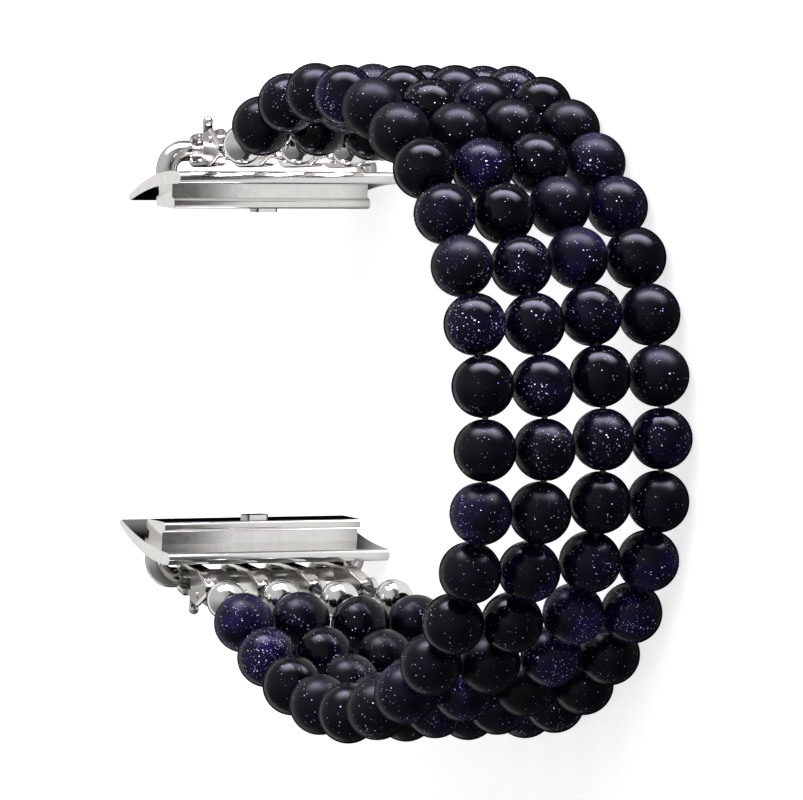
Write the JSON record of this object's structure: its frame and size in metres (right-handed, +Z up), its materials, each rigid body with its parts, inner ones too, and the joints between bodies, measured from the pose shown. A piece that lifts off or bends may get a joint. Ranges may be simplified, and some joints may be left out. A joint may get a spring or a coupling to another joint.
{
  "type": "bead watch band",
  "caption": "Bead watch band: parallel strands of dark blue glitter-stone beads on elastic, hooked by small lobster claws to the cross bars of two metal slide-in watch adapters.",
  "frame": {"origin": "under the middle of the whole band, on the floor that the band lies on", "axes": "+Z up, along the cross bars and across the strands; +X from the adapters to the far side of the loop; +Y from the lower adapter to the upper one"},
  "size_m": [0.075, 0.0662, 0.0252],
  "materials": {
    "goldstone_bead": "polished dark blue glass stone with fine bright glitter",
    "elastic_cord": "clear stretch cord",
    "silver_bead": "polished silver",
    "polished_clasp": "polished",
    "polished_adapter": "polished steel",
    "cross_bar_steel": "fine turned steel",
    "spring_steel": "bright spring wire",
    "crimp_metal": "plated"
  },
  "bodies": {
    "upper_adapter": {"upper_adapter": "polished_adapter", "upper_latch_spring": "spring_steel", "upper_bar_tube": "cross_bar_steel", "upper_bar_spring": "spring_steel"},
    "upper_claws": {"upper_claws": "polished_clasp", "upper_lever_rivets": "polished_clasp", "upper_lever_springs": "spring_steel"},
    "upper_end_beads": {"upper_end_beads": "silver_bead", "upper_crimps": "crimp_metal", "elastic_cord_1": "elastic_cord", "elastic_cord_2": "elastic_cord", "elastic_cord_3": "elastic_cord", "elastic_cord_4": "elastic_cord"},
    "row_01": {"bead_row_01": "goldstone_bead"},
    "row_02": {"bead_row_02": "goldstone_bead"},
    "row_03": {"bead_row_03": "goldstone_bead"},
    "row_04": {"bead_row_04": "goldstone_bead"},
    "row_05": {"bead_row_05": "goldstone_bead"},
    "row_06": {"bead_row_06": "goldstone_bead"},
    "row_07": {"bead_row_07": "goldstone_bead"},
    "row_08": {"bead_row_08": "goldstone_bead"},
    "row_09": {"bead_row_09": "goldstone_bead"},
    "row_10": {"bead_row_10": "goldstone_bead"},
    "row_11": {"bead_row_11": "goldstone_bead"},
    "row_12": {"bead_row_12": "goldstone_bead"},
    "row_13": {"bead_row_13": "goldstone_bead"},
    "row_14": {"bead_row_14": "goldstone_bead"},
    "row_15": {"bead_row_15": "goldstone_bead"},
    "row_16": {"bead_row_16": "goldstone_bead"},
    "row_17": {"bead_row_17": "goldstone_bead"},
    "row_18": {"bead_row_18": "goldstone_bead"},
    "row_19": {"bead_row_19": "goldstone_bead"},
    "row_20": {"bead_row_20": "goldstone_bead"},
    "row_21": {"bead_row_21": "goldstone_bead"},
    "row_22": {"bead_row_22": "goldstone_bead"},
    "row_23": {"bead_row_23": "goldstone_bead"},
    "lower_end_beads": {"lower_end_beads": "silver_bead", "lower_crimps": "crimp_metal"},
    "lower_claws": {"lower_claws": "polished_clasp", "lower_lever_rivets": "polished_clasp", "lower_lever_springs": "spring_steel"},
    "lower_adapter": {"lower_adapter": "polished_adapter", "lower_latch_spring": "spring_steel", "lower_bar_tube": "cross_bar_steel", "lower_bar_spring": "spring_steel"},
    "upper_lever_1": {"upper_lever_1": "polished_clasp"},
    "upper_lever_2": {"upper_lever_2": "polished_clasp"},
    "upper_lever_3": {"upper_lever_3": "polished_clasp"},
    "upper_lever_4": {"upper_lever_4": "polished_clasp"},
    "upper_bar_tip_top": {"upper_bar_tip_top": "cross_bar_steel"},
    "upper_bar_tip_bottom": {"upper_bar_tip_bottom": "cross_bar_steel"},
    "upper_latch_button": {"upper_latch_button": "polished_adapter"},
    "lower_lever_1": {"lower_lever_1": "polished_clasp"},
    "lower_lever_2": {"lower_lever_2": "polished_clasp"},
    "lower_lever_3": {"lower_lever_3": "polished_clasp"},
    "lower_lever_4": {"lower_lever_4": "polished_clasp"},
    "lower_bar_tip_top": {"lower_bar_tip_top": "cross_bar_steel"},
    "lower_bar_tip_bottom": {"lower_bar_tip_bottom": "cross_bar_steel"},
    "lower_latch_button": {"lower_latch_button": "polished_adapter"}
  },
  "joints": [
    {"name": "upper_bar_hinge", "type": "hinge", "parent": "upper_adapter", "child": "upper_claws", "pos_m": [-0.03135, 0.02261, 0.0126], "axis": [0, 0, 1], "range_deg": [-2, 120]},
    {"name": "upper_eye_hinge", "type": "hinge", "parent": "upper_claws", "child": "upper_end_beads", "pos_m": [-0.02267, 0.02322, 0.0126], "axis": [0, 0, 1], "range_deg": [-8, 40], "deforming": ["elastic_cord_1", "elastic_cord_2", "elastic_cord_3", "elastic_cord_4"]},
    {"name": "upper_end_bead_hinge", "type": "hinge", "parent": "upper_end_beads", "child": "row_01", "pos_m": [-0.01696, 0.02423, 0.0126], "axis": [0, 0, 1], "range_deg": [-8, 0]},
    {"name": "row_hinge_01", "type": "hinge", "parent": "row_01", "child": "row_02", "pos_m": [-0.01178, 0.02746, 0.0126], "axis": [0, 0, 1], "range_deg": [-1, 12.5]},
    {"name": "row_hinge_02", "type": "hinge", "parent": "row_02", "child": "row_03", "pos_m": [-0.00603, 0.0295, 0.0126], "axis": [0, 0, 1], "range_deg": [-1, 12.5]},
    {"name": "row_hinge_03", "type": "hinge", "parent": "row_03", "child": "row_04", "pos_m": [0.00002, 0.03024, 0.0126], "axis": [0, 0, 1], "range_deg": [-1, 10.2]},
    {"name": "row_hinge_04", "type": "hinge", "parent": "row_04", "child": "row_05", "pos_m": [0.00611, 0.0299, 0.0126], "axis": [0, 0, 1], "range_deg": [-1, 10.2]},
    {"name": "row_hinge_05", "type": "hinge", "parent": "row_05", "child": "row_06", "pos_m": [0.01205, 0.02848, 0.0126], "axis": [0, 0, 1], "range_deg": [-1, 11.3]},
    {"name": "row_hinge_06", "type": "hinge", "parent": "row_06", "child": "row_07", "pos_m": [0.01759, 0.02594, 0.0126], "axis": [0, 0, 1], "range_deg": [-1, 11.3]},
    {"name": "row_hinge_07", "type": "hinge", "parent": "row_07", "child": "row_08", "pos_m": [0.02252, 0.02235, 0.0126], "axis": [0, 0, 1], "range_deg": [-1, 9.8]},
    {"name": "row_hinge_08", "type": "hinge", "parent": "row_08", "child": "row_09", "pos_m": [0.02678, 0.01798, 0.0126], "axis": [0, 0, 1], "range_deg": [-1, 9.8]},
    {"name": "row_hinge_09", "type": "hinge", "parent": "row_09", "child": "row_10", "pos_m": [0.03022, 0.01294, 0.0126], "axis": [0, 0, 1], "range_deg": [-1, 9.8]},
    {"name": "row_hinge_10", "type": "hinge", "parent": "row_10", "child": "row_11", "pos_m": [0.03276, 0.0074, 0.0126], "axis": [0, 0, 1], "range_deg": [-1, 9.8]},
    {"name": "row_hinge_11", "type": "hinge", "parent": "row_11", "child": "row_12", "pos_m": [0.03432, 0.0015, 0.0126], "axis": [0, 0, 1], "range_deg": [-1, 11.9]},
    {"name": "row_hinge_12", "type": "hinge", "parent": "row_12", "child": "row_13", "pos_m": [0.03463, -0.00459, 0.0126], "axis": [0, 0, 1], "range_deg": [-1, 11.9]},
    {"name": "row_hinge_13", "type": "hinge", "parent": "row_13", "child": "row_14", "pos_m": [0.03367, -0.01062, 0.0126], "axis": [0, 0, 1], "range_deg": [-1, 13.6]},
    {"name": "row_hinge_14", "type": "hinge", "parent": "row_14", "child": "row_15", "pos_m": [0.03133, -0.01625, 0.0126], "axis": [0, 0, 1], "range_deg": [-1, 13.6]},
    {"name": "row_hinge_15", "type": "hinge", "parent": "row_15", "child": "row_16", "pos_m": [0.02773, -0.02117, 0.0126], "axis": [0, 0, 1], "range_deg": [-1, 13.6]},
    {"name": "row_hinge_16", "type": "hinge", "parent": "row_16", "child": "row_17", "pos_m": [0.02307, -0.02511, 0.0126], "axis": [0, 0, 1], "range_deg": [-1, 11.7]},
    {"name": "row_hinge_17", "type": "hinge", "parent": "row_17", "child": "row_18", "pos_m": [0.01771, -0.02802, 0.0126], "axis": [0, 0, 1], "range_deg": [-1, 11.7]},
    {"name": "row_hinge_18", "type": "hinge", "parent": "row_18", "child": "row_19", "pos_m": [0.01187, -0.02978, 0.0126], "axis": [0, 0, 1], "range_deg": [-1, 11.7]},
    {"name": "row_hinge_19", "type": "hinge", "parent": "row_19", "child": "row_20", "pos_m": [0.00579, -0.03032, 0.0126], "axis": [0, 0, 1], "range_deg": [-1, 10.6]},
    {"name": "row_hinge_20", "type": "hinge", "parent": "row_20", "child": "row_21", "pos_m": [-0.00028, -0.02974, 0.0126], "axis": [0, 0, 1], "range_deg": [-1, 10.6]},
    {"name": "row_hinge_21", "type": "hinge", "parent": "row_21", "child": "row_22", "pos_m": [-0.00614, -0.02805, 0.0126], "axis": [0, 0, 1], "range_deg": [-1, 7.7]},
    {"name": "row_hinge_22", "type": "hinge", "parent": "row_22", "child": "row_23", "pos_m": [-0.01172, -0.02559, 0.0126], "axis": [0, 0, 1], "range_deg": [-1, 7.7]},
    {"name": "lower_end_bead_hinge", "type": "hinge", "parent": "row_23", "child": "lower_end_beads", "pos_m": [-0.01692, -0.0224, 0.0126], "axis": [0, 0, 1], "range_deg": [-8, 0]},
    {"name": "lower_eye_hinge", "type": "hinge", "parent": "lower_end_beads", "child": "lower_claws", "pos_m": [-0.02264, -0.02144, 0.0126], "axis": [0, 0, 1], "range_deg": [-8, 40]},
    {"name": "lower_bar_hinge", "type": "hinge", "parent": "lower_claws", "child": "lower_adapter", "pos_m": [-0.03133, -0.02091, 0.0126], "axis": [0, 0, 1], "range_deg": [-2, 120]},
    {"name": "upper_lever_1_hinge", "type": "hinge", "parent": "upper_claws", "child": "upper_lever_1", "pos_m": [-0.02617, 0.02398, 0.021], "axis": [-0.1279, -0.0089, 0.9917], "range_deg": [0, 28], "stiffness_Nm_per_rad": 0.000006, "springref_deg": -20.05, "deforming": ["upper_lever_springs"]},
    {"name": "upper_lever_2_hinge", "type": "hinge", "parent": "upper_claws", "child": "upper_lever_2", "pos_m": [-0.02613, 0.02398, 0.0154], "axis": [-0.043, -0.003, 0.9991], "range_deg": [0, 28], "stiffness_Nm_per_rad": 0.000006, "springref_deg": -20.05},
    {"name": "upper_lever_3_hinge", "type": "hinge", "parent": "upper_claws", "child": "upper_lever_3", "pos_m": [-0.02613, 0.02398, 0.0098], "axis": [0.043, 0.003, 0.9991], "range_deg": [0, 28], "stiffness_Nm_per_rad": 0.000006, "springref_deg": -20.05},
    {"name": "upper_lever_4_hinge", "type": "hinge", "parent": "upper_claws", "child": "upper_lever_4", "pos_m": [-0.02617, 0.02398, 0.0042], "axis": [0.1279, 0.0089, 0.9917], "range_deg": [0, 28], "stiffness_Nm_per_rad": 0.000006, "springref_deg": -20.05},
    {"name": "upper_bar_tip_top_slide", "type": "slide", "parent": "upper_adapter", "child": "upper_bar_tip_top", "axis": [0, 0, -1], "range_m": [0, 0.00115], "stiffness_N_per_m": 0.5, "springref_m": -0.0008, "deforming": ["upper_bar_spring"]},
    {"name": "upper_bar_tip_bottom_slide", "type": "slide", "parent": "upper_adapter", "child": "upper_bar_tip_bottom", "axis": [0, 0, 1], "range_m": [0, 0.00115], "stiffness_N_per_m": 0.5, "springref_m": -0.0008},
    {"name": "upper_latch_button_slide", "type": "slide", "parent": "upper_adapter", "child": "upper_latch_button", "axis": [0, 1, 0], "range_m": [0, 0.00045], "stiffness_N_per_m": 1, "springref_m": -0.0005, "deforming": ["upper_latch_spring"]},
    {"name": "lower_lever_1_hinge", "type": "hinge", "parent": "lower_claws", "child": "lower_lever_1", "pos_m": [-0.02614, -0.02223, 0.021], "axis": [0.128, -0.0078, -0.9917], "range_deg": [0, 28], "stiffness_Nm_per_rad": 0.000006, "springref_deg": -20.05, "deforming": ["lower_lever_springs"]},
    {"name": "lower_lever_2_hinge", "type": "hinge", "parent": "lower_claws", "child": "lower_lever_2", "pos_m": [-0.0261, -0.02223, 0.0154], "axis": [0.043, -0.0026, -0.9991], "range_deg": [0, 28], "stiffness_Nm_per_rad": 0.000006, "springref_deg": -20.05},
    {"name": "lower_lever_3_hinge", "type": "hinge", "parent": "lower_claws", "child": "lower_lever_3", "pos_m": [-0.0261, -0.02223, 0.0098], "axis": [-0.043, 0.0026, -0.9991], "range_deg": [0, 28], "stiffness_Nm_per_rad": 0.000006, "springref_deg": -20.05},
    {"name": "lower_lever_4_hinge", "type": "hinge", "parent": "lower_claws", "child": "lower_lever_4", "pos_m": [-0.02614, -0.02223, 0.0042], "axis": [-0.128, 0.0078, -0.9917], "range_deg": [0, 28], "stiffness_Nm_per_rad": 0.000006, "springref_deg": -20.05},
    {"name": "lower_bar_tip_top_slide", "type": "slide", "parent": "lower_adapter", "child": "lower_bar_tip_top", "axis": [0, 0, -1], "range_m": [0, 0.00115], "stiffness_N_per_m": 0.5, "springref_m": -0.0008, "deforming": ["lower_bar_spring"]},
    {"name": "lower_bar_tip_bottom_slide", "type": "slide", "parent": "lower_adapter", "child": "lower_bar_tip_bottom", "axis": [0, 0, 1], "range_m": [0, 0.00115], "stiffness_N_per_m": 0.5, "springref_m": -0.0008},
    {"name": "lower_latch_button_slide", "type": "slide", "parent": "lower_adapter", "child": "lower_latch_button", "axis": [0, -1, 0], "range_m": [0, 0.00045], "stiffness_N_per_m": 1, "springref_m": -0.0005, "deforming": ["lower_latch_spring"]}
  ]
}
